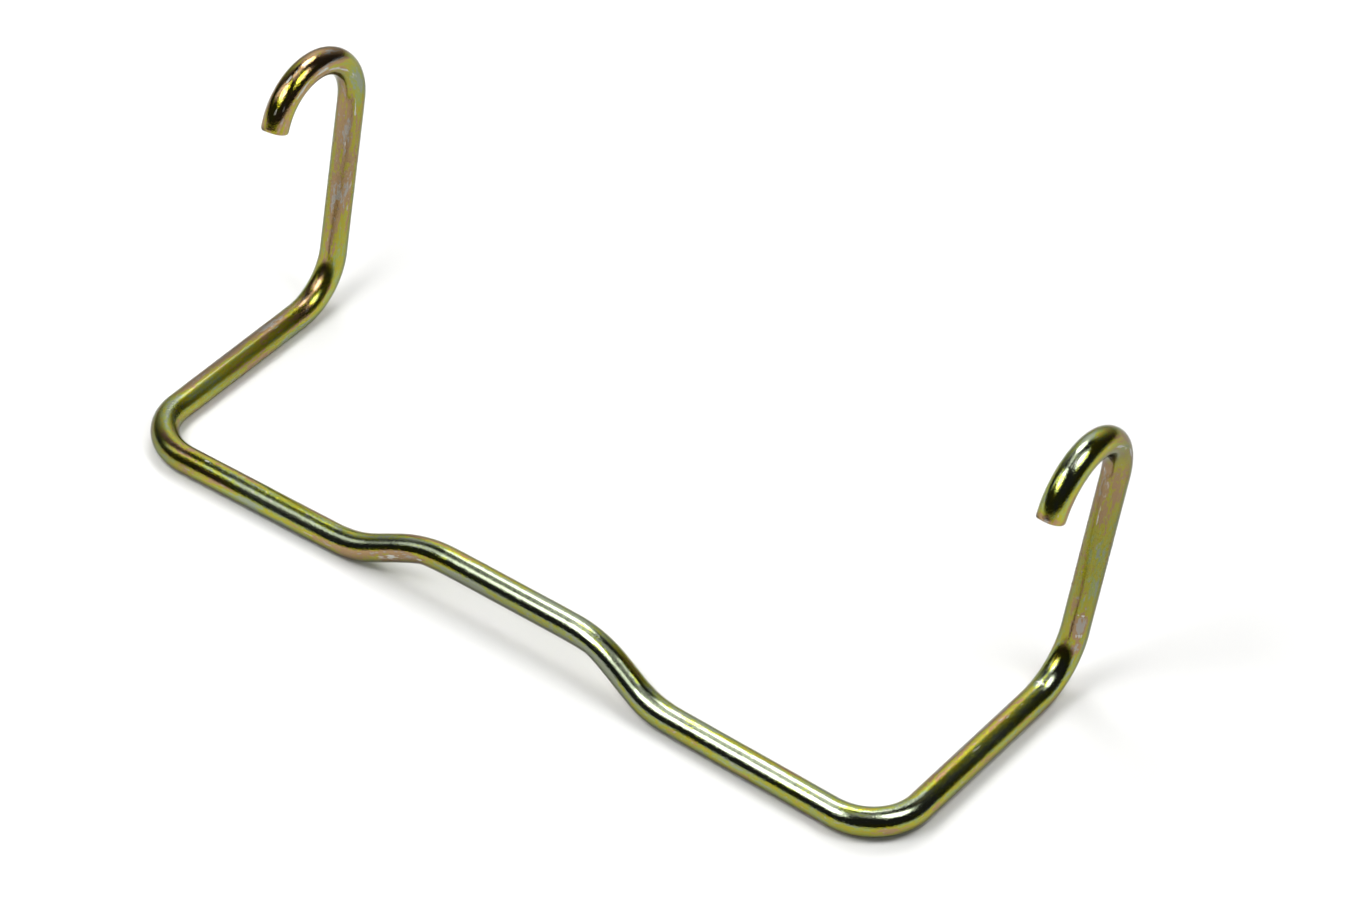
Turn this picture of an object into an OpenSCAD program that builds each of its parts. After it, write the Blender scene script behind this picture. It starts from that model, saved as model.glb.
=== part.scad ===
// Bent wire form: one length of round spring wire with a raised hump in its front bar, two arms,
// two uprights and two open hooks that curl forward over the arms. Sizes in millimetres.

/* [Wire] */
// Diameter of the wire
wire_d = 4.8; // [3:0.1:6]
// Extra thickness that the wire takes up where it is bent
bend_gain = 0.1; // [0.06:0.01:0.2]

/* [Front bar] */
// Distance between the centrelines of the two arms at the front corners
bar_width = 152.6; // [130:0.2:190]
// Bend radius of the front corners, on the centreline
corner_r = 9.8; // [6:0.1:14]
// How far the feet of the hump sit behind the front corners
bar_bow = 0.9; // [0:0.1:2]

/* [Hump] */
// Length of the hump along its top
hump_top = 35.4; // [30:0.2:36]
// Length of the hump between its feet
hump_foot = 60.6; // [60:0.2:72]
// Height of the hump above the rest of the bar
hump_rise = 5.5; // [4:0.1:6]
// How far the top of the hump sits behind its feet
hump_setback = 2.4; // [1:0.1:3]
// Bend radius at the top of the hump, on the centreline
hump_top_r = 24.6; // [18:0.2:26]
// Bend radius at the feet of the hump, on the centreline
hump_foot_r = 14.6; // [10:0.2:16]

/* [Arms] */
// Length of an arm from the front corner to the heel
arm_length = 50.3; // [40:0.1:70]
// Angle by which the arms spread apart towards the back
arm_splay = 0.8; // [0:0.1:3]
// Bend radius of the heel between arm and upright, on the centreline
heel_r = 10.3; // [6:0.1:14]

/* [Uprights] */
// Height from the centreline of the arm to the start of the hook
upright_height = 37.7; // [30:0.1:50]
// Angle by which the uprights lean back
lean_back = 10.3; // [0:0.1:18]
// Angle by which the uprights lean outwards
lean_out = 1.1; // [0:0.1:4]

/* [Hooks] */
// Bend radius of the hooks, on the centreline
hook_r = 10.1; // [7:0.1:13]
// Angle that a hook turns through
hook_angle = 168.5; // [140:0.5:200]
// Straight length left at the tip of a hook
hook_tail = 1.5; // [1:0.1:6]
// Angle by which the hooks are turned outwards about the uprights
hook_turnout = 1.5; // [0:0.1:5]

/* [Hidden] */
// Facets of a full turn in previews
$fn = 48;
// Diameter of the wire in its bends
bend_d = wire_d + bend_gain;
// How far a straight length runs on inside the bends at its ends
lap = 0.5;

// Corners of the centreline of the right half, from the middle of the hump to the start of the hook,
// with the front corner at the origin of Y and Z
front_corner = [bar_width / 2, 0, 0];
foot = [hump_foot / 2, bar_bow, 0];
hump_end = [hump_top / 2, bar_bow + hump_setback, hump_rise];
hump_middle = [0, hump_end[1], hump_end[2]];
heel = front_corner + arm_length * [tan(arm_splay), 1, 0];
hook_start = heel + upright_height * [tan(lean_out), tan(lean_back), 1];
corners = [hump_middle, hump_end, foot, front_corner, heel, hook_start];
corner_radii = [hump_top_r, hump_foot_r, corner_r, heel_r];

function unit(v) = v / norm(v);

// Runs between the corners, and the angle and the normal of the bend at each corner
runs = [for (i = [0:len(corners) - 2]) corners[i + 1] - corners[i]];
ways = [for (run = runs) unit(run)];
turns = [for (i = [0:len(corner_radii) - 1]) acos(ways[i] * ways[i + 1])];
normals = [[0, 1, 0], for (i = [0:len(corner_radii) - 1]) unit(cross(ways[i], ways[i + 1]))];
// Length that a bend takes from the run on either side of its corner
takes = [0, for (i = [0:len(corner_radii) - 1]) corner_radii[i] * tan(turns[i] / 2), 0];

// Bend schedule: straight lengths, and the radius, angle and roll of the bend after each
lengths = [for (i = [0:len(runs) - 1]) norm(runs[i]) - takes[i] - takes[i + 1], hook_tail];
radii = [each corner_radii, hook_r];
angles = [each turns, hook_angle];
rolls = [
    for (i = [0:len(turns) - 1])
        atan2(cross(normals[i], normals[i + 1]) * ways[i], normals[i] * normals[i + 1]),
    hook_turnout
];

// Front and back of the form, for centring it on the origin
corner_centre = front_corner + (ways[3] - ways[2]) * corner_r / sin(turns[2]);
front_y = corner_centre[1] - corner_r - bend_d / 2;
back_y = hook_start[1] + hook_r * (1 - cos(lean_back)) + bend_d / 2;

// Straight length number i, with the rest of the wire following on at its far end
module straight(i) {
    last = i == len(radii);
    translate([0, 0, -lap])
        cylinder(h = lengths[i] + (last ? lap : 2 * lap), d = wire_d);
    translate([0, 0, lengths[i]])
        if (!last)
            bend(i);
}

// Bend number i, with the next straight length following on at its far end
module bend(i) {
    rotate([0, 0, rolls[i]])
        translate([radii[i], 0, 0]) {
            rotate([90, 0, 180])
                rotate_extrude(angle = angles[i])
                    translate([radii[i], 0])
                        circle(d = bend_d);
            rotate([0, angles[i], 0])
                translate([-radii[i], 0, 0])
                    straight(i + 1);
        }
}

// Right half of the wire, from the middle of the hump to the tip of the hook
module half_wire() {
    translate(hump_middle)
        rotate([0, 90, 0])
            straight(0);
}

module wire_form() {
    color("DarkGoldenrod")
        translate([0, -(front_y + back_y) / 2, bend_d / 2]) {
            half_wire();
            mirror([1, 0, 0])
                half_wire();
        }
}

wire_form();
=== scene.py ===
"""Looks of a bent wire form: one length of yellow-plated spring wire on a pale studio floor.

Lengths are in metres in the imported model's own frame, apart from the marks on the wire, which are in
millimetres. A place on the wire is given as on the straight wire before bending: the distance along it
from the middle of the hump, positive to the right, and the angle around it from the side that is uppermost
on the bar and innermost in the hooks, positive outwards.
"""

import logging
import math
from dataclasses import dataclass, fields
from enum import Enum

import bpy
from mathutils import Matrix, Vector, noise


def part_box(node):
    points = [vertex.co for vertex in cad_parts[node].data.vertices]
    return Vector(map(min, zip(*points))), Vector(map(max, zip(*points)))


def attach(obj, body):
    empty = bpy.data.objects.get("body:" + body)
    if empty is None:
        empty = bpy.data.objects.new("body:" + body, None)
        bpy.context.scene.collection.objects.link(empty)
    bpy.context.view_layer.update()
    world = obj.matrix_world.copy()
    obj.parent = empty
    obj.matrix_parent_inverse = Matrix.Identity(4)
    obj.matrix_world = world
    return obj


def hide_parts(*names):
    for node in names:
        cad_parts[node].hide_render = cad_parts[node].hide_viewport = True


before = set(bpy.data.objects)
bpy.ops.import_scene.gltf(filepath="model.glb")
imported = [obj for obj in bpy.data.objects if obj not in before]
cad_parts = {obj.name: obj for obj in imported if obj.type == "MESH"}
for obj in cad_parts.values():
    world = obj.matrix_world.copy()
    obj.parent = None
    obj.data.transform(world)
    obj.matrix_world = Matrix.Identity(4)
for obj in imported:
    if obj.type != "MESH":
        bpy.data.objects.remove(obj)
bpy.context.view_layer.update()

LOG = logging.getLogger("wire_form")
MM = 0.001
NODE = "wire_form"
BODY = "root"
PIECE = "wire_form_skin"
PHOTO_WIDTH = 1350

Triple = tuple[float, float, float]
Range = tuple[float, float]
Colour = Triple
Rgba = tuple[float, float, float, float]
Socket = bpy.types.NodeSocket
Spot = tuple[Vector, Vector]

WHITE: Colour = (1.0, 1.0, 1.0)


class Side(Enum):
    """The two halves of the form, by the sign of X."""

    LEFT = -1
    RIGHT = 1


class Layer(Enum):
    """Mesh attributes that the wire carries for its finishes."""

    STRAIGHT = "straight_place"
    WEAR = "wear"
    FILM = "film"
    DULL = "dull"
    # Darkening of the skin: plain darkening on the uprights and at the burrs, painted shade under the hump
    # and bar and on the left arm and corner
    DARK = "dark"


class Face(Enum):
    """Finishes of the wire, by the number of their material slot."""

    SKIN = 0
    CUT = 1


class Kind(Enum):
    """Kinds of values that a node group takes and gives."""

    VECTOR = "NodeSocketVector"
    FLOAT = "NodeSocketFloat"
    COLOUR = "NodeSocketColor"


@dataclass(frozen=True)
class WireSizes:
    """Driving sizes of the wire and its bends, the same as in the solid model."""

    wire_d: float = 4.8 * MM
    bend_gain: float = 0.1 * MM
    bar_width: float = 152.6 * MM
    corner_r: float = 9.8 * MM
    bar_bow: float = 0.9 * MM
    hump_top: float = 35.4 * MM
    hump_foot: float = 60.6 * MM
    hump_rise: float = 5.5 * MM
    hump_setback: float = 2.4 * MM
    hump_top_r: float = 24.6 * MM
    hump_foot_r: float = 14.6 * MM
    arm_length: float = 50.3 * MM
    arm_splay: float = math.radians(0.8)
    heel_r: float = 10.3 * MM
    upright_height: float = 37.7 * MM
    lean_back: float = math.radians(10.3)
    lean_out: float = math.radians(1.1)
    hook_r: float = 10.1 * MM
    hook_angle: float = math.radians(168.5)
    hook_tail: float = 1.5 * MM
    hook_turnout: float = math.radians(1.5)


@dataclass(frozen=True)
class Station:
    """A point of the centreline with the directions of the wire there."""

    place: Vector
    way: Vector
    upper: Vector
    along: float
    bent: float

    def mirrored(self) -> "Station":
        """Return the matching station of the left half."""
        flip = Vector((-1.0, 1.0, 1.0))
        return Station(self.place * flip, -(self.way * flip), self.upper * flip, -self.along, self.bent)


@dataclass(frozen=True)
class Bend:
    """One bend of the wire: the direction of its axis, its radius on the centreline and its angle."""

    axis: Vector
    radius: float
    angle: float


@dataclass(frozen=True)
class Centreline:
    """The middle line of the wire, walked from the middle of the hump to the tip of a hook."""

    sizes: WireSizes
    step: float = 0.42 * MM
    ease: float = 1.7 * MM
    ease_reach: float = 3.0
    ease_until: float = 50.0 * MM

    def corners(self) -> list[Vector]:
        """Work out the corners of the right half.

        Returns:
            The corners, from the middle of the hump to the start of the hook.
        """
        s = self.sizes
        front = Vector((s.bar_width / 2, 0.0, 0.0))
        foot = Vector((s.hump_foot / 2, s.bar_bow, 0.0))
        hump_end = Vector((s.hump_top / 2, s.bar_bow + s.hump_setback, s.hump_rise))
        hump_middle = Vector((0.0, hump_end.y, hump_end.z))
        heel = front + s.arm_length * Vector((math.tan(s.arm_splay), 1.0, 0.0))
        hook_start = heel + s.upright_height * Vector((math.tan(s.lean_out), math.tan(s.lean_back), 1.0))
        return [hump_middle, hump_end, foot, front, heel, hook_start]

    def bends(self, ways: list[Vector]) -> list[Bend]:
        """Work out the bends of the right half.

        Args:
            ways: Directions of the straight runs.

        Returns:
            The bends at the corners, with the hook last.
        """
        s = self.sizes
        radii = (s.hump_top_r, s.hump_foot_r, s.corner_r, s.heel_r)
        bends = [Bend(a.cross(b).normalized(), r, a.angle(b)) for a, b, r in zip(ways, ways[1:], radii)]
        heel_axis, up = bends[-1].axis, ways[-1]
        inward = heel_axis.cross(up) * math.cos(s.hook_turnout) + heel_axis * math.sin(s.hook_turnout)
        return bends + [Bend(up.cross(inward), s.hook_r, s.hook_angle)]

    def origin(self, corners: list[Vector], ways: list[Vector], bends: list[Bend]) -> Vector:
        """Find where the centreline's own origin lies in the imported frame.

        Args:
            corners: Corners of the right half.
            ways: Directions of the straight runs.
            bends: Bends of the right half.

        Returns:
            The shift that sets the form's front and underside where the solid has them.
        """
        s = self.sizes
        low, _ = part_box(NODE)
        half_d = (s.wire_d + s.bend_gain) / 2
        front_corner, front_bend = corners[3], bends[2]
        bar_way, arm_way = ways[2:4]
        corner_centre = front_corner + (arm_way - bar_way) * s.corner_r / math.sin(front_bend.angle)
        front = corner_centre.y - s.corner_r - half_d
        return Vector((0.0, low[1] - front, low[2] + half_d))

    def right_half(self) -> list[Station]:
        """Walk the right half.

        Returns:
            The stations from the middle of the hump to the tip, a step or less apart.
        """
        corners = self.corners()
        runs = [b - a for a, b in zip(corners, corners[1:])]
        ways = [run.normalized() for run in runs]
        bends = self.bends(ways)
        takes = [0.0] + [bend.radius * math.tan(bend.angle / 2) for bend in bends[:-1]] + [0.0]
        lengths = [run.length - a - b for run, a, b in zip(runs, takes, takes[1:])] + [self.sizes.hook_tail]

        start = corners[0] + self.origin(corners, ways, bends)
        stations = [Station(start, ways[0], Vector((0.0, 0.0, 1.0)), 0.0, 0.0)]
        for length, bend in zip(lengths, bends + [None]):
            stations += self.straight(stations[-1], length)
            if bend is not None:
                stations += self.turn(stations[-1], bend)
        return self.eased(stations)

    def eased(self, stations: list[Station]) -> list[Station]:
        """Let the hump's bends run softly into the straight lengths beside them, as in drawn wire.

        Args:
            stations: Stations of the right half, with plain arcs.

        Returns:
            The stations, with the direction of the wire averaged along the hump.
        """
        whole = [station.mirrored() for station in reversed(stations[1:])] + stations
        eased = [stations[0]]
        for before, here in zip(stations, stations[1:]):
            if here.along > self.ease_until:
                eased.append(here)
                continue
            way = Vector()
            for other in whole:
                reach = (other.along - (before.along + here.along) / 2) / self.ease
                if abs(reach) < self.ease_reach:
                    way += other.way * math.exp(-reach * reach / 2)
            way.normalize()
            place = eased[-1].place + way * (here.place - before.place).length
            upper = (here.upper - here.upper.dot(way) * way).normalized()
            eased.append(Station(place, way, upper, here.along, here.bent))
        return eased

    def straight(self, start: Station, length: float) -> list[Station]:
        """Walk a straight length.

        Args:
            start: Station where the length begins.
            length: How far it goes.

        Returns:
            The stations after the start.
        """
        count = math.ceil(length / self.step)
        reaches = [length * i / count for i in range(1, count + 1)]
        return [
            Station(start.place + start.way * reach, start.way, start.upper, start.along + reach, 0.0)
            for reach in reaches
        ]

    def turn(self, start: Station, bend: Bend) -> list[Station]:
        """Walk a bend.

        Args:
            start: Station where the bend begins.
            bend: The bend to follow.

        Returns:
            The stations after the start, in which bent rises from 0 and falls to 0 again.
        """
        count = math.ceil(bend.radius * bend.angle / self.step)
        centre = start.place + bend.axis.cross(start.way) * bend.radius
        stations = []
        for i in range(1, count + 1):
            part = i / count
            spin = Matrix.Rotation(bend.angle * part, 3, bend.axis)
            stations.append(Station(
                centre + spin @ (start.place - centre),
                spin @ start.way,
                spin @ start.upper,
                start.along + bend.radius * bend.angle * part,
                math.sqrt(math.sin(math.pi * part)),
            ))
        return stations


@dataclass(frozen=True)
class Mark:
    """An oval on the skin where it is worn bare, dull, darker (in places as painted shade), pressed in, or
    has a thicker or thinner film.

    Its place along the wire, its size and its depth are in millimetres, its angle around it in degrees.
    """

    along: float
    around: float
    length: float
    width: float
    wear: float = 0.0
    film: float = 0.0
    dull: float = 0.0
    dark: float = 0.0
    depth: float = 0.0

    def covers(self, along: float) -> bool:
        """Tell whether the mark reaches a distance along the wire."""
        return abs(along / MM - self.along) < self.length / 2

    def weight(self, along: float, angle: float, radius: float) -> float:
        """Tell how much of the mark a point has.

        Args:
            along: Distance of the point along the wire.
            angle: Angle of the point around the wire.
            radius: Radius of the wire.

        Returns:
            1 in the middle of the mark, falling to 0 at its rim.
        """
        turn = math.remainder(angle - math.radians(self.around), 2 * math.pi)
        ahead = (along / MM - self.along) / (self.length / 2)
        aside = turn * radius / MM / (self.width / 2)
        return max(0.0, 1.0 - ahead * ahead - aside * aside)


@dataclass(frozen=True)
class Pinch:
    """A crease that the bending tool leaves on the inner side of a bend, in millimetres and degrees."""

    along: float
    around: float
    reach: float
    depth: float

    def press(self, along: float, angle: float) -> float:
        """Tell how far the tool presses the skin in.

        Args:
            along: Distance of a point along the wire.
            angle: Angle of the point around the wire.

        Returns:
            The depth there.
        """
        near = max(0.0, 1.0 - abs(along / MM - self.along) / self.reach)
        facing = max(0.0, math.cos(angle - math.radians(self.around)))
        return self.depth * MM * near * near * facing


MARKS: tuple[Mark, ...] = (
    # Scratches on the left hook
    Mark(-181.5, -174.0, 2.6, 0.6, wear=0.7),
    Mark(-182.4, -132.0, 1.2, 0.5, wear=0.6),
    Mark(-186.4, -160.0, 3.0, 0.5, wear=0.6),
    Mark(-185.6, -133.0, 2.4, 0.4, wear=0.6),
    Mark(-181.5, -100.0, 7.0, 0.7, wear=0.75),
    Mark(-177.0, -94.0, 6.0, 0.7, wear=0.75),
    Mark(-173.4, -78.0, 5.0, 0.8, wear=0.7),
    Mark(-170.0, -71.0, 5.0, 0.7, wear=0.7),
    Mark(-166.4, -69.0, 3.2, 1.9, wear=0.5),
    # Rubbed streaks on the left upright
    Mark(-158.0, -58.0, 12.0, 0.7, wear=0.4),
    Mark(-151.0, -31.0, 11.0, 0.6, wear=0.42),
    Mark(-140.5, -77.0, 15.0, 0.7, wear=0.4),
    # Rubbed patches on the left arm, bar and hump
    Mark(-108.0, -5.0, 9.0, 2.6, wear=0.3, film=0.2),
    Mark(-62.7, 7.0, 1.6, 0.9, wear=0.65),
    Mark(-39.5, 82.0, 6.0, 0.7, wear=0.5),
    Mark(-23.0, 96.0, 10.0, 1.5, wear=0.5),
    Mark(-17.0, 89.0, 1.2, 0.6, wear=0.85),
    # Scratches and a nick on the right arm
    Mark(97.0, 14.0, 7.0, 0.8, wear=0.45),
    Mark(109.0, 6.0, 16.0, 0.5, wear=0.4),
    Mark(117.0, -4.0, 0.7, 2.6, wear=1.0, depth=0.03),
    # Flat left by the bending tool on the right upright
    Mark(131.2, 36.0, 6.5, 3.6, film=0.4, depth=0.03),
    Mark(126.8, 50.0, 3.4, 2.4, film=0.4, depth=0.03),
    Mark(133.3, 36.0, 0.8, 3.6, wear=0.55),
    Mark(129.4, 46.0, 0.8, 3.2, wear=0.55),
    # Scratches on the right upright and hook
    Mark(152.0, 3.0, 7.0, 0.6, wear=0.5),
    Mark(157.5, 10.0, 6.0, 1.2, wear=0.4),
    Mark(160.5, -20.0, 5.0, 0.7, wear=0.55),
    Mark(170.5, 95.0, 7.0, 0.7, wear=0.75),
    Mark(165.6, 101.0, 5.0, 0.7, wear=0.75),
    Mark(180.0, 178.0, 10.0, 3.0, wear=0.38),
    # Thicker film, rosy, and thinner film, green to blue
    Mark(-168.0, 175.0, 20.0, 8.0, film=0.15),
    Mark(-180.5, -160.0, 24.0, 9.0, film=0.24),
    Mark(-176.0, -90.0, 26.0, 3.6, film=0.14),
    Mark(-164.0, -80.0, 10.0, 3.4, film=-0.28),
    Mark(-146.0, -34.0, 46.0, 6.0, film=0.2),
    Mark(-120.5, -6.0, 14.0, 6.0, film=0.12),
    Mark(-102.0, 18.0, 40.0, 3.0, film=0.12),
    Mark(-48.0, 78.0, 40.0, 1.6, film=0.11),
    Mark(-45.0, 92.0, 20.0, 5.0, film=-0.12),
    Mark(-63.0, 92.0, 20.0, 5.0, film=0.08),
    Mark(-48.0, 116.0, 34.0, 5.0, film=-0.18),
    Mark(-44.0, 44.0, 60.0, 2.2, film=-0.2),
    Mark(25.0, 28.0, 190.0, 3.7, film=-0.25),
    Mark(22.0, -16.0, 150.0, 3.4, film=-0.11),
    Mark(-3.0, 28.0, 42.0, 3.7, film=-0.16),
    Mark(-9.0, 102.0, 14.0, 4.5, film=-0.3),
    Mark(2.0, 100.0, 22.0, 5.0, film=-0.2),
    Mark(27.0, 28.0, 24.0, 3.7, film=-0.14),
    Mark(-27.0, 95.0, 24.0, 5.5, film=0.18),
    Mark(18.0, 100.0, 40.0, 5.0, film=-0.25),
    Mark(45.0, 90.0, 70.0, 6.0, film=-0.10),
    Mark(60.0, 28.0, 40.0, 3.7, film=-0.2),
    Mark(79.0, 25.0, 14.0, 5.0, film=-0.3),
    Mark(119.5, 14.0, 13.0, 6.0, film=-0.28),
    Mark(180.5, 174.0, 16.0, 6.0, film=-0.2),
    Mark(189.6, -170.0, 2.2, 9.0, film=0.3),
    Mark(-189.7, -175.0, 2.2, 9.0, film=0.05),
    Mark(96.0, -40.0, 48.0, 1.4, film=0.3),
    Mark(140.0, 20.0, 28.0, 9.0, film=-0.05),
    Mark(157.0, 15.0, 22.0, 8.0, film=0.16),
    # Darker on the uprights
    Mark(-150.0, -20.0, 64.0, 12.0, dark=0.35),
    Mark(148.0, 20.0, 56.0, 24.0, dark=0.42),
    # Painted shade under the hump and along the bar's lower edge: a darker band standing for the reflection
    # of the shaded floor beneath
    Mark(2.0, 104.0, 110.0, 3.8, dark=0.55),
    Mark(66.0, 104.0, 50.0, 3.8, dark=0.2),
    Mark(0.0, 140.0, 250.0, 5.0, dark=0.6),
    # Painted shade on the left corner and arm, dimming the lamps' reflections there
    Mark(-74.0, 62.0, 26.0, 7.6, dark=0.45),
    Mark(-98.0, -10.0, 56.0, 6.6, dark=0.45),
    # Darker at the burr of each sheared end
    Mark(190.0, -128.0, 1.6, 2.0, dark=0.9),
    Mark(-190.0, 159.0, 1.6, 2.0, dark=0.9),
    # Duller plating, most of all on the left arm and the uprights
    Mark(-97.0, 0.0, 52.0, 40.0, dull=1.1),
    Mark(-74.0, 0.0, 24.0, 40.0, dull=0.5),
    Mark(-50.0, 0.0, 40.0, 40.0, dull=0.35),
    Mark(-122.0, 0.0, 18.0, 40.0, dull=0.4),
    Mark(-176.0, 0.0, 38.0, 40.0, dull=0.08),
    Mark(100.0, 0.0, 44.0, 40.0, dull=0.5),
    Mark(176.0, 0.0, 38.0, 40.0, dull=0.08),
    Mark(-144.0, 0.0, 42.0, 40.0, dull=0.6),
    Mark(144.0, 0.0, 42.0, 40.0, dull=0.6),
)

PINCHES: tuple[Pinch, ...] = (
    Pinch(17.5, 156.0, 7.0, 0.42),
    Pinch(-17.5, 156.0, 7.0, 0.36),
)


@dataclass(frozen=True)
class CutEnd:
    """The sheared end of the wire: a rounded rim, a nearly flat face and a small burr."""

    burr_around: float
    radius: float = 2.4 * MM
    rim: float = 0.42 * MM
    rim_steps: int = 5
    slope: float = 0.05
    burr: float = 0.3 * MM
    burr_spread: float = math.radians(26.0)
    burr_falloff: int = 8
    face_rings: tuple[float, ...] = (0.86, 0.72, 0.56, 0.38, 0.2)

    def profile(self) -> list[Range]:
        """Work out the rings of the end, from the tube inwards.

        Returns:
            Pairs of radius, as a share of the wire's, and distance back from the end.
        """
        arc = [math.pi / 2 * i / self.rim_steps for i in range(self.rim_steps + 1)]
        share = self.rim / self.radius
        rim = [(1 - share * (1 - math.cos(a)), self.rim * (1 - math.sin(a))) for a in arc]
        return rim + [(ring, 0.0) for ring in self.face_rings]

    def reach(self, share: float, angle: float) -> float:
        """Tell how far a point of the face stands out along the wire.

        Args:
            share: Radius of the point as a share of the wire's.
            angle: Angle of the point around the wire.

        Returns:
            The distance along the wire, from the slope of the cut and the burr on its rim.
        """
        turn = math.remainder(angle - self.burr_around, 2 * math.pi) / self.burr_spread
        lip = self.burr * math.exp(-turn * turn) * share ** self.burr_falloff
        return lip + self.slope * self.radius * share * math.cos(angle)


class Graph:
    """A shader node tree that is filled one node at a time, laid out in rows."""

    ROW = 12
    ACROSS = 220
    DOWN = -260

    def __init__(self, tree: bpy.types.NodeTree) -> None:
        """Start on an empty tree."""
        self.tree = tree
        tree.nodes.clear()

    def add(self, kind: str, inputs: dict | None = None, **settings: object) -> bpy.types.Node:
        """Add a node.

        Args:
            kind: Type name of the node.
            inputs: Values or output sockets for its inputs, by name or number.
            settings: Properties of the node.

        Returns:
            The new node.
        """
        node = self.tree.nodes.new(kind)
        row, column = divmod(len(self.tree.nodes), self.ROW)
        node.location = (self.ACROSS * column, self.DOWN * row)
        for name, value in settings.items():
            setattr(node, name, value)
        for key, value in (inputs or {}).items():
            if isinstance(value, Socket):
                self.tree.links.new(value, node.inputs[key])
            else:
                node.inputs[key].default_value = value
        return node

    def layer(self, layer: Layer) -> Socket:
        """Read a layer of the mesh and return its vector or value."""
        output = "Vector" if layer is Layer.STRAIGHT else "Fac"
        return self.add("ShaderNodeAttribute", attribute_name=layer.value).outputs[output]

    def math(self, operation: str, *values: object) -> Socket:
        """Add a Math node and return its result."""
        return self.add("ShaderNodeMath", dict(enumerate(values)), operation=operation).outputs[0]

    def vector(self, operation: str, *values: object) -> bpy.types.NodeOutputs:
        """Add a Vector Math node and return its outputs."""
        return self.add("ShaderNodeVectorMath", dict(enumerate(values)), operation=operation).outputs

    def stretch(self, place: Socket, scale: Triple, shift: Triple) -> Socket:
        """Scale and shift a place and return it."""
        inputs = {"Vector": place, "Location": shift, "Scale": scale}
        return self.add("ShaderNodeMapping", inputs).outputs[0]

    def ramp(self, value: Socket, low: float, high: float, start: float = 0.0, end: float = 1.0) -> Socket:
        """Map a value smoothly from low..high to start..end and return it."""
        inputs = {0: value, 1: low, 2: high, 3: start, 4: end}
        return self.add("ShaderNodeMapRange", inputs, interpolation_type="SMOOTHSTEP").outputs[0]

    def mix(self, share: Socket, first: object, second: object) -> Socket:
        """Mix two colours and return the result."""
        inputs = {0: share, 6: first, 7: second}
        return self.add("ShaderNodeMix", inputs, data_type="RGBA").outputs[2]

    def bump(self, height: Socket, distance: float, strength: float) -> Socket:
        """Turn a height into a normal and return it."""
        inputs = {"Strength": strength, "Distance": distance, "Height": height}
        return self.add("ShaderNodeBump", inputs).outputs[0]


class Group:
    """A shader node group with named inputs and outputs, built once and placed in each material."""

    def __init__(self, name: str, inputs: dict[str, Kind], outputs: dict[str, Kind]) -> None:
        """Make the group and its sockets.

        Args:
            name: Name of the group.
            inputs: Kinds of its inputs, by name.
            outputs: Kinds of its outputs, by name.
        """
        self.tree = bpy.data.node_groups.new(name, "ShaderNodeTree")
        for label, kind in inputs.items():
            self.tree.interface.new_socket(label, in_out="INPUT", socket_type=kind.value)
        for label, kind in outputs.items():
            self.tree.interface.new_socket(label, in_out="OUTPUT", socket_type=kind.value)
        self.graph = Graph(self.tree)
        self.given = self.graph.add("NodeGroupInput").outputs

    def give(self, **results: Socket) -> None:
        """Join the results to the group's outputs, by name."""
        self.graph.add("NodeGroupOutput", results)

    def place(self, graph: Graph, inputs: dict) -> bpy.types.NodeOutputs:
        """Put the group in a material and return its outputs."""
        return graph.add("ShaderNodeGroup", inputs, node_tree=self.tree).outputs


@dataclass(frozen=True)
class Pattern:
    """A noise on the straight wire: its scale per millimetre along and across, its shift and its detail."""

    scale: Triple
    shift: Triple
    detail: float

    def value(self, graph: Graph, place: Socket) -> Socket:
        """Add the noise to a graph and return its value."""
        inputs = {"Vector": graph.stretch(place, self.scale, self.shift), "Scale": 1.0, "Detail": self.detail}
        return graph.add("ShaderNodeTexNoise", inputs).outputs[0]


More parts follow.
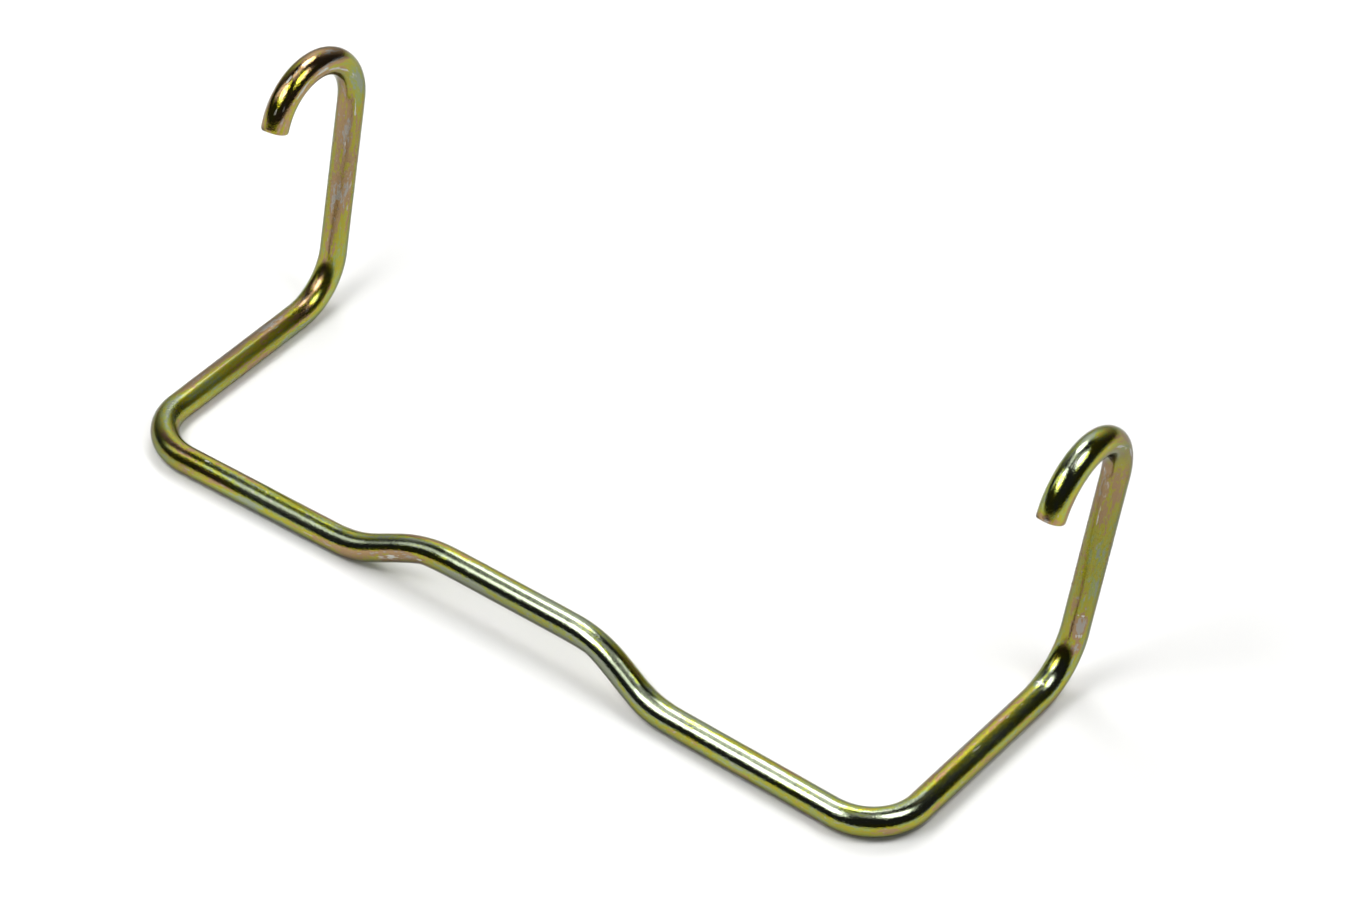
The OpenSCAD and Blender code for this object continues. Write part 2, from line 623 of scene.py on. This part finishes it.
class PlatingEffects:
    """The node groups that the wire's two finishes share."""

    PATCHES = Pattern((0.09, 0.55, 0.55), (5.0, 2.4, 1.7), 2.0)
    STREAKS = Pattern((0.28, 1.5, 1.5), (2.0, 8.1, 3.3), 3.0)
    CLOUDS = Pattern((1.2, 2.6, 2.6), (11.3, 5.2, 1.9), 4.0)
    FLECKS = Pattern((1.3, 2.6, 2.6), (4.1, 9.2, 6.6), 3.0)
    SPECKLES = Pattern((4.4, 5.4, 5.4), (0.0, 3.0, 1.0), 1.0)
    LINES = Pattern((0.22, 4.8, 4.8), (5.0, 0.0, 8.0), 3.0)
    RUBS = Pattern((0.55, 3.4, 3.4), (9.0, 2.0, 4.0), 4.0)

    STREAK_SHARE = 0.7
    CLOUD_SHARE = 0.6
    FILM_START = 0.65
    FILM_STEPS = {"Green": (0.27, 0.36), "Gold": (0.40, 0.50), "Rose": (0.56, 0.66), "Grey": (0.80, 0.88)}
    FLECK_STEP = (0.64, 0.72)
    LINE_HEIGHT = 0.15
    WEAR_FULL = 1.05
    WEAR_GAIN = 0.72
    WEAR_EDGE = 0.14

    def __init__(self) -> None:
        """Build each group once."""
        self.bloom = self._bloom()
        self.grain = self._grain()
        self.worn = self._worn()

    def _bloom(self) -> Group:
        """Build the colour play of a chromate film.

        Returns:
            A group that gives cloudy patches of five colours, by the thickness of the film, and the clouds.
        """
        colours = {name: Kind.COLOUR for name in ("Teal", *self.FILM_STEPS)}
        group = Group(
            "chromate_bloom",
            {"Place": Kind.VECTOR, "Shift": Kind.FLOAT} | colours,
            {"Color": Kind.COLOUR, "Cloud": Kind.FLOAT},
        )
        g, given = group.graph, group.given
        patterns = (self.PATCHES, self.STREAKS, self.CLOUDS, self.FLECKS)
        patch, streak, cloud, fleck = (pattern.value(g, given["Place"]) for pattern in patterns)
        film = g.math("MULTIPLY_ADD", streak, self.STREAK_SHARE, patch)
        film = g.math("MULTIPLY_ADD", cloud, self.CLOUD_SHARE, film)
        film = g.math("ADD", g.math("SUBTRACT", film, self.FILM_START), given["Shift"])
        colour = given["Teal"]
        for name, step in self.FILM_STEPS.items():
            colour = g.mix(g.ramp(film, *step), colour, given[name])
        colour = g.mix(g.ramp(fleck, *self.FLECK_STEP), colour, given["Grey"])
        group.give(Color=colour, Cloud=cloud)
        return group

    def _grain(self) -> Group:
        """Build the fine grain of the plating and the drawing lines along the wire.

        Returns:
            A group that gives their height.
        """
        group = Group("plating_grain", {"Place": Kind.VECTOR}, {"Height": Kind.FLOAT})
        g, given = group.graph, group.given
        speckle = self.SPECKLES.value(g, given["Place"])
        lines = self.LINES.value(g, given["Place"])
        group.give(Height=g.math("MULTIPLY_ADD", lines, self.LINE_HEIGHT, speckle))
        return group

    def _worn(self) -> Group:
        """Build the ragged edge of worn places.

        Returns:
            A group that turns a smooth wear value into a mask of bare streaks and spots.
        """
        group = Group("worn_streaks", {"Place": Kind.VECTOR, "Wear": Kind.FLOAT}, {"Mask": Kind.FLOAT})
        g, given = group.graph, group.given
        streaks = self.RUBS.value(g, given["Place"])
        need = g.math("MULTIPLY", g.math("SUBTRACT", self.WEAR_FULL, given["Wear"]), self.WEAR_GAIN)
        group.give(Mask=g.ramp(g.math("SUBTRACT", streaks, need), 0.0, self.WEAR_EDGE))
        return group


def rgba(colour: Colour) -> Rgba:
    """Return a colour with full alpha."""
    return (*colour, 1.0)


def new_material(name: str) -> tuple[bpy.types.Material, Graph]:
    """Make a material with no nodes in it.

    Args:
        name: Name of the material.

    Returns:
        The material and its graph.
    """
    material = bpy.data.materials.new(name)
    material.use_nodes = True
    return material, Graph(material.node_tree)


@dataclass(frozen=True)
class FilmColours:
    """Colours of a chromate film, from thin to thick."""

    teal: Colour
    green: Colour
    gold: Colour
    rose: Colour
    grey: Colour

    def inputs(self) -> dict[str, Rgba]:
        """Return the colours by the names of the film group's inputs."""
        return {part.name.capitalize(): rgba(getattr(self, part.name)) for part in fields(self)}


@dataclass(frozen=True)
class PlatedSkin:
    """Zinc plating with a yellow chromate film, glossy and a little cloudy."""

    name: str = "yellow_plating"
    film: FilmColours = FilmColours(
        teal=(0.252, 0.289, 0.192),
        green=(0.279, 0.329, 0.062),
        gold=(0.347, 0.322, 0.0075),
        rose=(0.341, 0.211, 0.093),
        grey=(0.341, 0.316, 0.273),
    )
    bare: Colour = (0.446, 0.44, 0.39)
    # Near-black that the dark layer mixes in, in places as painted shade
    smoky: Colour = (0.037, 0.027, 0.015)
    edge_tint: Colour = (0.25, 0.25, 0.22)
    coat: float = 0.6
    coat_roughness: float = 0.06
    clouds: Range = (0.35, 0.68)
    gloss: float = 0.06
    cloudy: float = 0.12
    dulled: float = 0.30
    worn_roughness: float = 0.36
    grain_height: float = 0.028 * MM
    grain_strength: float = 1.0

    def make(self, effects: PlatingEffects) -> bpy.types.Material:
        """Make the material.

        Args:
            effects: Node groups to use.

        Returns:
            The plated skin of the wire.
        """
        material, g = new_material(self.name)
        place, film, wear = g.layer(Layer.STRAIGHT), g.layer(Layer.FILM), g.layer(Layer.WEAR)
        bloom = effects.bloom.place(g, {"Place": place, "Shift": film} | self.film.inputs())
        grain = effects.grain.place(g, {"Place": place})
        worn = effects.worn.place(g, {"Place": place, "Wear": wear})["Mask"]
        roughness = g.ramp(bloom["Cloud"], *self.clouds, self.gloss, self.cloudy)
        roughness = g.math("MULTIPLY_ADD", g.layer(Layer.DULL), self.dulled, roughness)
        roughness = g.add("ShaderNodeMix", {0: worn, 2: roughness, 3: self.worn_roughness}).outputs[0]
        # The dark layer mixes the film towards near-black: painted shade under the hump and bar and on the
        # left arm and corner, plain darkening on the uprights and at the burrs
        colour = g.mix(g.layer(Layer.DARK), bloom["Color"], rgba(self.smoky))
        skin = g.add("ShaderNodeBsdfPrincipled", {
            "Base Color": g.mix(worn, colour, rgba(self.bare)),
            "Metallic": 1.0,
            "Roughness": roughness,
            "Specular Tint": rgba(self.edge_tint),
            "Coat Weight": self.coat,
            "Coat Roughness": self.coat_roughness,
            "Normal": g.bump(grain["Height"], self.grain_height, self.grain_strength),
        })
        g.add("ShaderNodeOutputMaterial", {"Surface": skin.outputs[0]})
        return material


@dataclass(frozen=True)
class ShearedFace:
    """The sheared face at each end of the wire, thinly plated, duller and scored."""

    name: str = "sheared_end"
    film: FilmColours = FilmColours(
        teal=(0.15, 0.15, 0.112),
        green=(0.198, 0.186, 0.087),
        gold=(0.248, 0.198, 0.068),
        rose=(0.273, 0.161, 0.093),
        grey=(0.372, 0.335, 0.236),
    )
    film_scale: Triple = (8.0, 0.5, 1.6)
    film_shift: Triple = (2.0, 7.0, 0.0)
    clouds: Range = (0.3, 0.7)
    smooth: float = 0.30
    torn: float = 0.50
    score_scale: Triple = (1.0, 0.06, 0.5)
    score_shift: Triple = (0.0, 0.0, 0.0)
    score_height: float = 0.03 * MM
    score_strength: float = 0.6

    def make(self, effects: PlatingEffects) -> bpy.types.Material:
        """Make the material.

        Args:
            effects: Node groups to use.

        Returns:
            The face of a sheared end.
        """
        material, g = new_material(self.name)
        place = g.layer(Layer.STRAIGHT)
        drawn = g.stretch(place, self.film_scale, self.film_shift)
        scored = g.stretch(place, self.score_scale, self.score_shift)
        bloom = effects.bloom.place(g, {"Place": drawn} | self.film.inputs())
        grain = effects.grain.place(g, {"Place": scored})
        face = g.add("ShaderNodeBsdfPrincipled", {
            "Base Color": bloom["Color"],
            "Metallic": 1.0,
            "Roughness": g.ramp(bloom["Cloud"], *self.clouds, self.smooth, self.torn),
            "Normal": g.bump(grain["Height"], self.score_height, self.score_strength),
        })
        g.add("ShaderNodeOutputMaterial", {"Surface": face.outputs[0]})
        return material


@dataclass(frozen=True)
class BakeMap:
    """The map for baking: the skin unrolled in rows of equal length, the two cut faces in a corner above."""

    name: str = "OFBake"
    rows: int = 5
    rows_height: float = 0.94
    margin: float = 0.01
    row_margin: float = 0.03
    row_fill: float = 0.9259
    left_face: float = 0.03
    right_face: float = 0.09
    face_height: float = 0.97
    face_scale: float = 0.01 / MM

    def add(self, mesh: bpy.types.Mesh, places: list[Vector]) -> None:
        """Add the map to the wire's mesh.

        Args:
            mesh: Mesh that takes the map.
            places: Place of each point on the straight wire.
        """
        layer = mesh.uv_layers.new(name=self.name)
        low, high = min(place.x for place in places), max(place.x for place in places)
        for polygon in mesh.polygons:
            spots = [places[v] for v in polygon.vertices]
            if polygon.material_index == Face.CUT.value:
                uvs = [self.on_face(spot) for spot in spots]
            else:
                uvs = self.on_row(spots, low, high - low)
            for loop, uv in zip(polygon.loop_indices, uvs):
                layer.data[loop].uv = uv

    def on_face(self, spot: Vector) -> Range:
        """Return where a place on a cut face lies on the map."""
        middle = self.left_face if spot.x < 0 else self.right_face
        return middle + spot.y * self.face_scale, self.face_height + spot.z * self.face_scale

    def on_row(self, spots: list[Vector], low: float, span: float) -> list[Range]:
        """Find where a face of the tube lies on the map.

        Args:
            spots: Places of its points on the straight wire.
            low: Distance along the wire of the left tip.
            span: Length of the wire.

        Returns:
            The places of the points on the map, all in one row and on one side of its seam.
        """
        turns = [math.atan2(spot.z, spot.y) / (2 * math.pi) % 1.0 for spot in spots]
        if max(turns) - min(turns) > 0.5:
            turns = [turn + 1.0 if turn < 0.5 else turn for turn in turns]
        parts = [(spot.x - low) / span * self.rows for spot in spots]
        row = min(self.rows - 1, int(sum(parts) / len(parts)))
        width, height = 1.0 - 2 * self.margin, self.rows_height / self.rows
        return [
            (self.margin + width * (part - row), height * (row + self.row_margin + self.row_fill * turn))
            for part, turn in zip(parts, turns)
        ]


@dataclass(frozen=True)
class WireForm:
    """The whole form: one swept mesh along the centreline, with its cut ends, wear and finishes."""

    sizes: WireSizes = WireSizes()
    left_end: CutEnd = CutEnd(math.radians(159.0))
    right_end: CutEnd = CutEnd(math.radians(-128.0))
    end_gap: float = 0.1 * MM
    around: int = 80
    ripple: float = 0.006 * MM
    ripple_length: float = 3.0 * MM
    marks: tuple[Mark, ...] = MARKS
    pinches: tuple[Pinch, ...] = PINCHES
    bake_map: BakeMap = BakeMap()

    def build(self) -> bpy.types.Object:
        """Build the mesh of the form.

        Returns:
            The object, with the layers that its finishes read.
        """
        half = Centreline(self.sizes).right_half()
        rings = self.rings(half)
        tips = (half[-1].mirrored(), half[-1])
        middles = [(tip.place, Vector((tip.along, 0.0, 0.0))) for tip in tips]
        spots = [spot for ring in rings for spot in ring] + middles
        places = [place for _, place in spots]
        skin, cut = self.faces(len(rings))
        mesh = bpy.data.meshes.new(PIECE)
        mesh.from_pydata([point for point, _ in spots], [], skin + cut)
        mesh.polygons.foreach_set("use_smooth", [True] * len(mesh.polygons))
        slots = [Face.SKIN.value] * len(skin) + [Face.CUT.value] * len(cut)
        mesh.polygons.foreach_set("material_index", slots)
        self.add_layers(mesh, places)
        self.bake_map.add(mesh, places)
        mesh.update()
        form = bpy.data.objects.new(PIECE, mesh)
        bpy.context.scene.collection.objects.link(form)
        return form

    def rings(self, half: list[Station]) -> list[list[Spot]]:
        """Lay the rings of points around the centreline.

        Args:
            half: Stations of the right half.

        Returns:
            The rings from the left tip to the right, each point with its place on the straight wire.
        """
        tip = half[-1]
        tube = [s for s in half if s.along < tip.along - self.right_end.rim - self.end_gap]
        stations = [s.mirrored() for s in reversed(tube[1:])] + tube
        profile = self.right_end.profile()
        left = [self.end_ring(tip.mirrored(), Side.LEFT, share, back) for share, back in reversed(profile)]
        right = [self.end_ring(tip, Side.RIGHT, share, back) for share, back in profile]
        return left + [self.tube_ring(station) for station in stations] + right

    def tube_ring(self, station: Station) -> list[Spot]:
        """Lay one ring of the tube, swollen a little in the bends and pressed in by the marks.

        Args:
            station: Where the ring sits.

        Returns:
            Its points and their places on the straight wire.
        """
        across = station.way.cross(station.upper)
        radius = (self.sizes.wire_d + self.sizes.bend_gain * station.bent) / 2
        dents = [mark for mark in self.marks if mark.depth and mark.covers(station.along)]
        ring = []
        for i in range(self.around):
            angle = 2 * math.pi * i / self.around
            c, s = math.cos(angle), math.sin(angle)
            place = Vector((station.along, radius * c, radius * s))
            here = radius + self.ripple * noise.noise(place / self.ripple_length)
            here -= sum(dent.depth * MM * dent.weight(station.along, angle, radius) for dent in dents)
            here -= sum(pinch.press(station.along, angle) for pinch in self.pinches)
            ring.append((station.place + here * (c * station.upper + s * across), place))
        return ring

    def end_ring(self, tip: Station, side: Side, share: float, back: float) -> list[Spot]:
        """Lay one ring of a cut end.

        Args:
            tip: Station at the end of the wire.
            side: Which end it is.
            share: Radius of the ring as a share of the wire's.
            back: Distance back from the end.

        Returns:
            Its points and their places on the straight wire.
        """
        across = tip.way.cross(tip.upper)
        end = self.right_end if side is Side.RIGHT else self.left_end
        radius = end.radius * share
        ring = []
        for i in range(self.around):
            angle = 2 * math.pi * i / self.around
            c, s = math.cos(angle), math.sin(angle)
            out = side.value * (end.reach(share, angle) - back)
            point = tip.place + out * tip.way + radius * (c * tip.upper + s * across)
            ring.append((point, Vector((tip.along + out, radius * c, radius * s))))
        return ring

    def faces(self, rings: int) -> tuple[list[tuple[int, ...]], list[tuple[int, ...]]]:
        """Join the rings.

        Args:
            rings: Number of rings, after which come the middles of the left and right ends.

        Returns:
            The faces of the skin, and those of the cut ends.
        """
        n = self.around
        cut = len(self.right_end.face_rings)

        def band(j: int) -> list[tuple[int, ...]]:
            """Return the faces between ring j and the next."""
            a, b = j * n, (j + 1) * n
            return [(a + k, a + (k + 1) % n, b + (k + 1) % n, b + k) for k in range(n)]

        skin = [face for j in range(cut, rings - 1 - cut) for face in band(j)]
        ends = [face for j in (*range(cut), *range(rings - 1 - cut, rings - 1)) for face in band(j)]
        last, left_middle, right_middle = (rings - 1) * n, rings * n, rings * n + 1
        ends += [((k + 1) % n, k, left_middle) for k in range(n)]
        ends += [(last + k, last + (k + 1) % n, right_middle) for k in range(n)]
        return skin, ends

    def add_layers(self, mesh: bpy.types.Mesh, places: list[Vector]) -> None:
        """Store each point's place on the straight wire, in millimetres, and what the marks do there.

        Args:
            mesh: Mesh that takes the layers.
            places: Places on the straight wire.
        """
        straight = mesh.attributes.new(Layer.STRAIGHT.value, "FLOAT_VECTOR", "POINT")
        straight.data.foreach_set("vector", [value / MM for place in places for value in place])
        skins = [self.skin(place) for place in places]
        for layer in (Layer.WEAR, Layer.FILM, Layer.DULL, Layer.DARK):
            attribute = mesh.attributes.new(layer.value, "FLOAT", "POINT")
            attribute.data.foreach_set("value", [skin[layer] for skin in skins])

    def skin(self, place: Vector) -> dict[Layer, float]:
        """Work out the state of the skin at a place.

        Args:
            place: Place on the straight wire.

        Returns:
            The wear, the shift of the film, the dullness and the darkness there.
        """
        angle, radius = math.atan2(place.z, place.y), self.sizes.wire_d / 2
        near = [mark for mark in self.marks if mark.covers(place.x)]
        shares = [(mark, mark.weight(place.x, angle, radius)) for mark in near]
        return {
            Layer.WEAR: max((mark.wear * share for mark, share in shares), default=0.0),
            Layer.FILM: sum(mark.film * share for mark, share in shares),
            Layer.DULL: max((mark.dull * share for mark, share in shares), default=0.0),
            Layer.DARK: max((mark.dark * share for mark, share in shares), default=0.0),
        }

    def dress(self, form: bpy.types.Object) -> None:
        """Give the form its finishes and set it on the frame in place of the solid.

        Args:
            form: Object from build.
        """
        effects = PlatingEffects()
        form.data.materials.append(PlatedSkin().make(effects))
        form.data.materials.append(ShearedFace().make(effects))
        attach(form, BODY)
        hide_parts(NODE)


@dataclass(frozen=True)
class SoftLamp:
    """A soft box that faces the middle of the floor, brightest in its middle and fading to its rim.

    Angles are in degrees. Azimuth is measured from the back, positive to the right. The half sizes are the
    angles that the lamp takes up as the middle of the floor sees it.
    """

    name: str
    azimuth: float
    elevation: float
    half_width: float
    half_height: float
    radiance: float
    core: float = 0.55
    distance: float = 0.47
    falloff: float = 2.0

    def build(self) -> bpy.types.Object:
        """Build the lamp.

        Returns:
            The lamp, in its place.
        """
        a, e = math.radians(self.azimuth), math.radians(self.elevation)
        towards = Vector((math.sin(a) * math.cos(e), math.cos(a) * math.cos(e), math.sin(e)))
        lamp = bpy.data.lights.new(self.name, "AREA")
        lamp.shape = "RECTANGLE"
        lamp.size = 2 * self.distance * math.tan(math.radians(self.half_width))
        lamp.size_y = 2 * self.distance * math.tan(math.radians(self.half_height))
        lamp.energy = self.radiance * math.pi * lamp.size * lamp.size_y
        lamp.use_nodes = True
        g = Graph(lamp.node_tree)
        # Parametric runs from 0 to 1 across the lamp: here from -1 to 1, with 0 in its middle
        spot = g.add("ShaderNodeNewGeometry").outputs["Parametric"]
        reach = g.vector("LENGTH", g.stretch(spot, (2.0, 2.0, 0.0), (-1.0, -1.0, 0.0)))["Value"]
        fade = g.math("POWER", g.ramp(reach, 1.0, self.core), self.falloff)
        glow = g.add("ShaderNodeEmission", {"Strength": fade})
        g.add("ShaderNodeOutputLight", {"Surface": glow.outputs[0]})
        made = bpy.data.objects.new(self.name, lamp)
        made.location = towards * self.distance
        made.rotation_euler = (-towards).to_track_quat("-Z", "Y").to_euler()
        bpy.context.scene.collection.objects.link(made)
        return made


@dataclass(frozen=True)
class CameraView:
    """The camera, by the point that it looks at and its direction, roll, distance and focal length."""

    name: str = "photo_view"
    target: Triple = (1.785 * MM, 16.575 * MM, 12.05 * MM)
    azimuth: float = math.radians(34.319)
    elevation: float = math.radians(40.072)
    roll: float = math.radians(3.505)
    distance: float = 812.4 * MM
    focal_pixels: float = 4885.0
    sensor: float = 36.0
    near_clip: float = 10.0 * MM

    def build(self) -> bpy.types.Object:
        """Build the camera and make it the scene's own.

        Returns:
            The camera, in its place.
        """
        a, e = self.azimuth, self.elevation
        back = Vector((math.sin(a) * math.cos(e), -math.cos(a) * math.cos(e), math.sin(e)))
        right = Vector((math.cos(a), math.sin(a), 0.0))
        turn = Matrix.Rotation(self.roll, 3, back)
        axes = Matrix((right, back.cross(right), back)).transposed()
        data = bpy.data.cameras.new(self.name)
        data.sensor_width = self.sensor
        data.lens = self.focal_pixels / PHOTO_WIDTH * self.sensor
        data.clip_start = self.near_clip
        camera = bpy.data.objects.new(self.name, data)
        place = Matrix.Translation(Vector(self.target) + self.distance * back)
        camera.matrix_world = place @ (turn @ axes).to_4x4()
        bpy.context.scene.collection.objects.link(camera)
        bpy.context.scene.camera = camera
        return camera


@dataclass(frozen=True)
class Studio:
    """The pale floor, the soft lamps above it and the white surroundings.

    The floor glows faintly to the eye, more so from near to far. The ceiling and the back wall are parts of
    the world, by the height of the direction in which they lie: the ceiling begins in ceiling_rise, and the
    wall, around wall_way, brightens over wall_rise and ends in wall_fade.
    """

    floor_half: float = 3.0
    floor_colour: Colour = (0.90, 0.90, 0.89)
    near: float = 0.09
    far: float = 0.25
    near_glow: float = 0.05
    far_glow: float = 0.34
    dark: float = 0.028
    ceiling: float = 0.73
    ceiling_rise: Range = (0.95, 0.985)
    wall_way: Triple = (-0.616, 0.788, 0.0)
    wall_focus: float = 6.0
    wall_low: float = 0.77
    wall_high: float = 1.41
    wall_rise: Range = (0.0, 0.55)
    wall_fade: Range = (0.80, 0.60)
    lamps: tuple[SoftLamp, ...] = (
        SoftLamp("back_left_lamp", -39.0, 59.0, 15.5, 15.0, 8.2),
        SoftLamp("front_lamp", -153.0, 57.5, 17.5, 18.5, 7.4),
        SoftLamp("right_lamp", 76.0, 61.0, 16.5, 16.0, 8.3),
        SoftLamp("top_fill", -88.0, 73.0, 12.0, 12.0, 2.0),
        SoftLamp("front_fill", -174.0, 53.0, 13.0, 17.0, 3.9, core=0.4),
        SoftLamp("left_fill", -117.0, 42.0, 13.0, 22.0, 1.95, core=0.4),
    )

    def build(self) -> bpy.types.Object:
        """Build the floor, lamps and world.

        Returns:
            The floor.
        """
        bpy.context.scene.view_settings.view_transform = "Standard"
        for lamp in self.lamps:
            lamp.build()
        self.surround()
        return self.floor()

    def floor(self) -> bpy.types.Object:
        """Build the floor, pale and matt, white to the eye far from the form.

        Returns:
            The floor.
        """
        h = self.floor_half
        mesh = bpy.data.meshes.new("floor")
        mesh.from_pydata([(-h, -h, 0), (h, -h, 0), (h, h, 0), (-h, h, 0)], [], [(0, 1, 2, 3)])
        material, g = new_material("pale_floor")
        matt = g.add("ShaderNodeBsdfDiffuse", {"Color": rgba(self.floor_colour)})
        reach = g.vector("LENGTH", g.add("ShaderNodeNewGeometry").outputs["Position"])["Value"]
        path = g.add("ShaderNodeLightPath").outputs
        seen = g.math("MAXIMUM", path["Is Camera Ray"], path["Is Glossy Ray"])
        seen = g.math("MAXIMUM", seen, path["Is Transmission Ray"])
        strength = g.ramp(reach, self.near, self.far, self.near_glow, self.far_glow)
        glow = g.add("ShaderNodeEmission", {"Strength": g.math("MULTIPLY", seen, strength)})
        both = g.add("ShaderNodeAddShader", {0: matt.outputs[0], 1: glow.outputs[0]})
        g.add("ShaderNodeOutputMaterial", {"Surface": both.outputs[0]})
        mesh.materials.append(material)
        floor = bpy.data.objects.new("floor", mesh)
        bpy.context.scene.collection.objects.link(floor)
        return floor

    def surround(self) -> None:
        """Make the world: white behind the object, dim around it, with a pale ceiling and back wall."""
        world = bpy.data.worlds.new("white_studio")
        world.use_nodes = True
        bpy.context.scene.world = world
        g = Graph(world.node_tree)
        way = g.add("ShaderNodeTexCoord").outputs["Generated"]
        height = g.add("ShaderNodeSeparateXYZ", {0: way}).outputs["Z"]
        ceiling = g.math("MULTIPLY", g.ramp(height, *self.ceiling_rise), self.ceiling)
        level = g.vector("NORMALIZE", g.vector("MULTIPLY", way, (1.0, 1.0, 0.0))[0])[0]
        side = g.vector("DOT_PRODUCT", level, self.wall_way)["Value"]
        wall = g.math("POWER", g.math("MAXIMUM", side, 0.0), self.wall_focus)
        wall = g.math("MULTIPLY", wall, g.ramp(height, *self.wall_rise, self.wall_low, self.wall_high))
        wall = g.math("MULTIPLY", wall, g.ramp(height, *self.wall_fade))
        light = g.math("ADD", g.math("ADD", ceiling, wall), self.dark)
        camera = g.add("ShaderNodeLightPath").outputs["Is Camera Ray"]
        around = g.add("ShaderNodeBackground", {"Color": rgba(WHITE), "Strength": light})
        white = g.add("ShaderNodeBackground", {"Color": rgba(WHITE), "Strength": 1.0})
        both = g.add("ShaderNodeMixShader", {0: camera, 1: around.outputs[0], 2: white.outputs[0]})
        g.add("ShaderNodeOutputWorld", {"Surface": both.outputs[0]})


def main() -> None:
    """Build the camera, the studio and the form."""
    logging.basicConfig(level=logging.INFO, format="%(name)s: %(message)s")
    LOG.info("camera %s", CameraView().build().name)
    LOG.info("stage %s", Studio().build().name)
    wire = WireForm()
    form = wire.build()
    wire.dress(form)
    LOG.info("piece %s, %d faces", form.name, len(form.data.polygons))


if __name__ == "__main__":
    main()
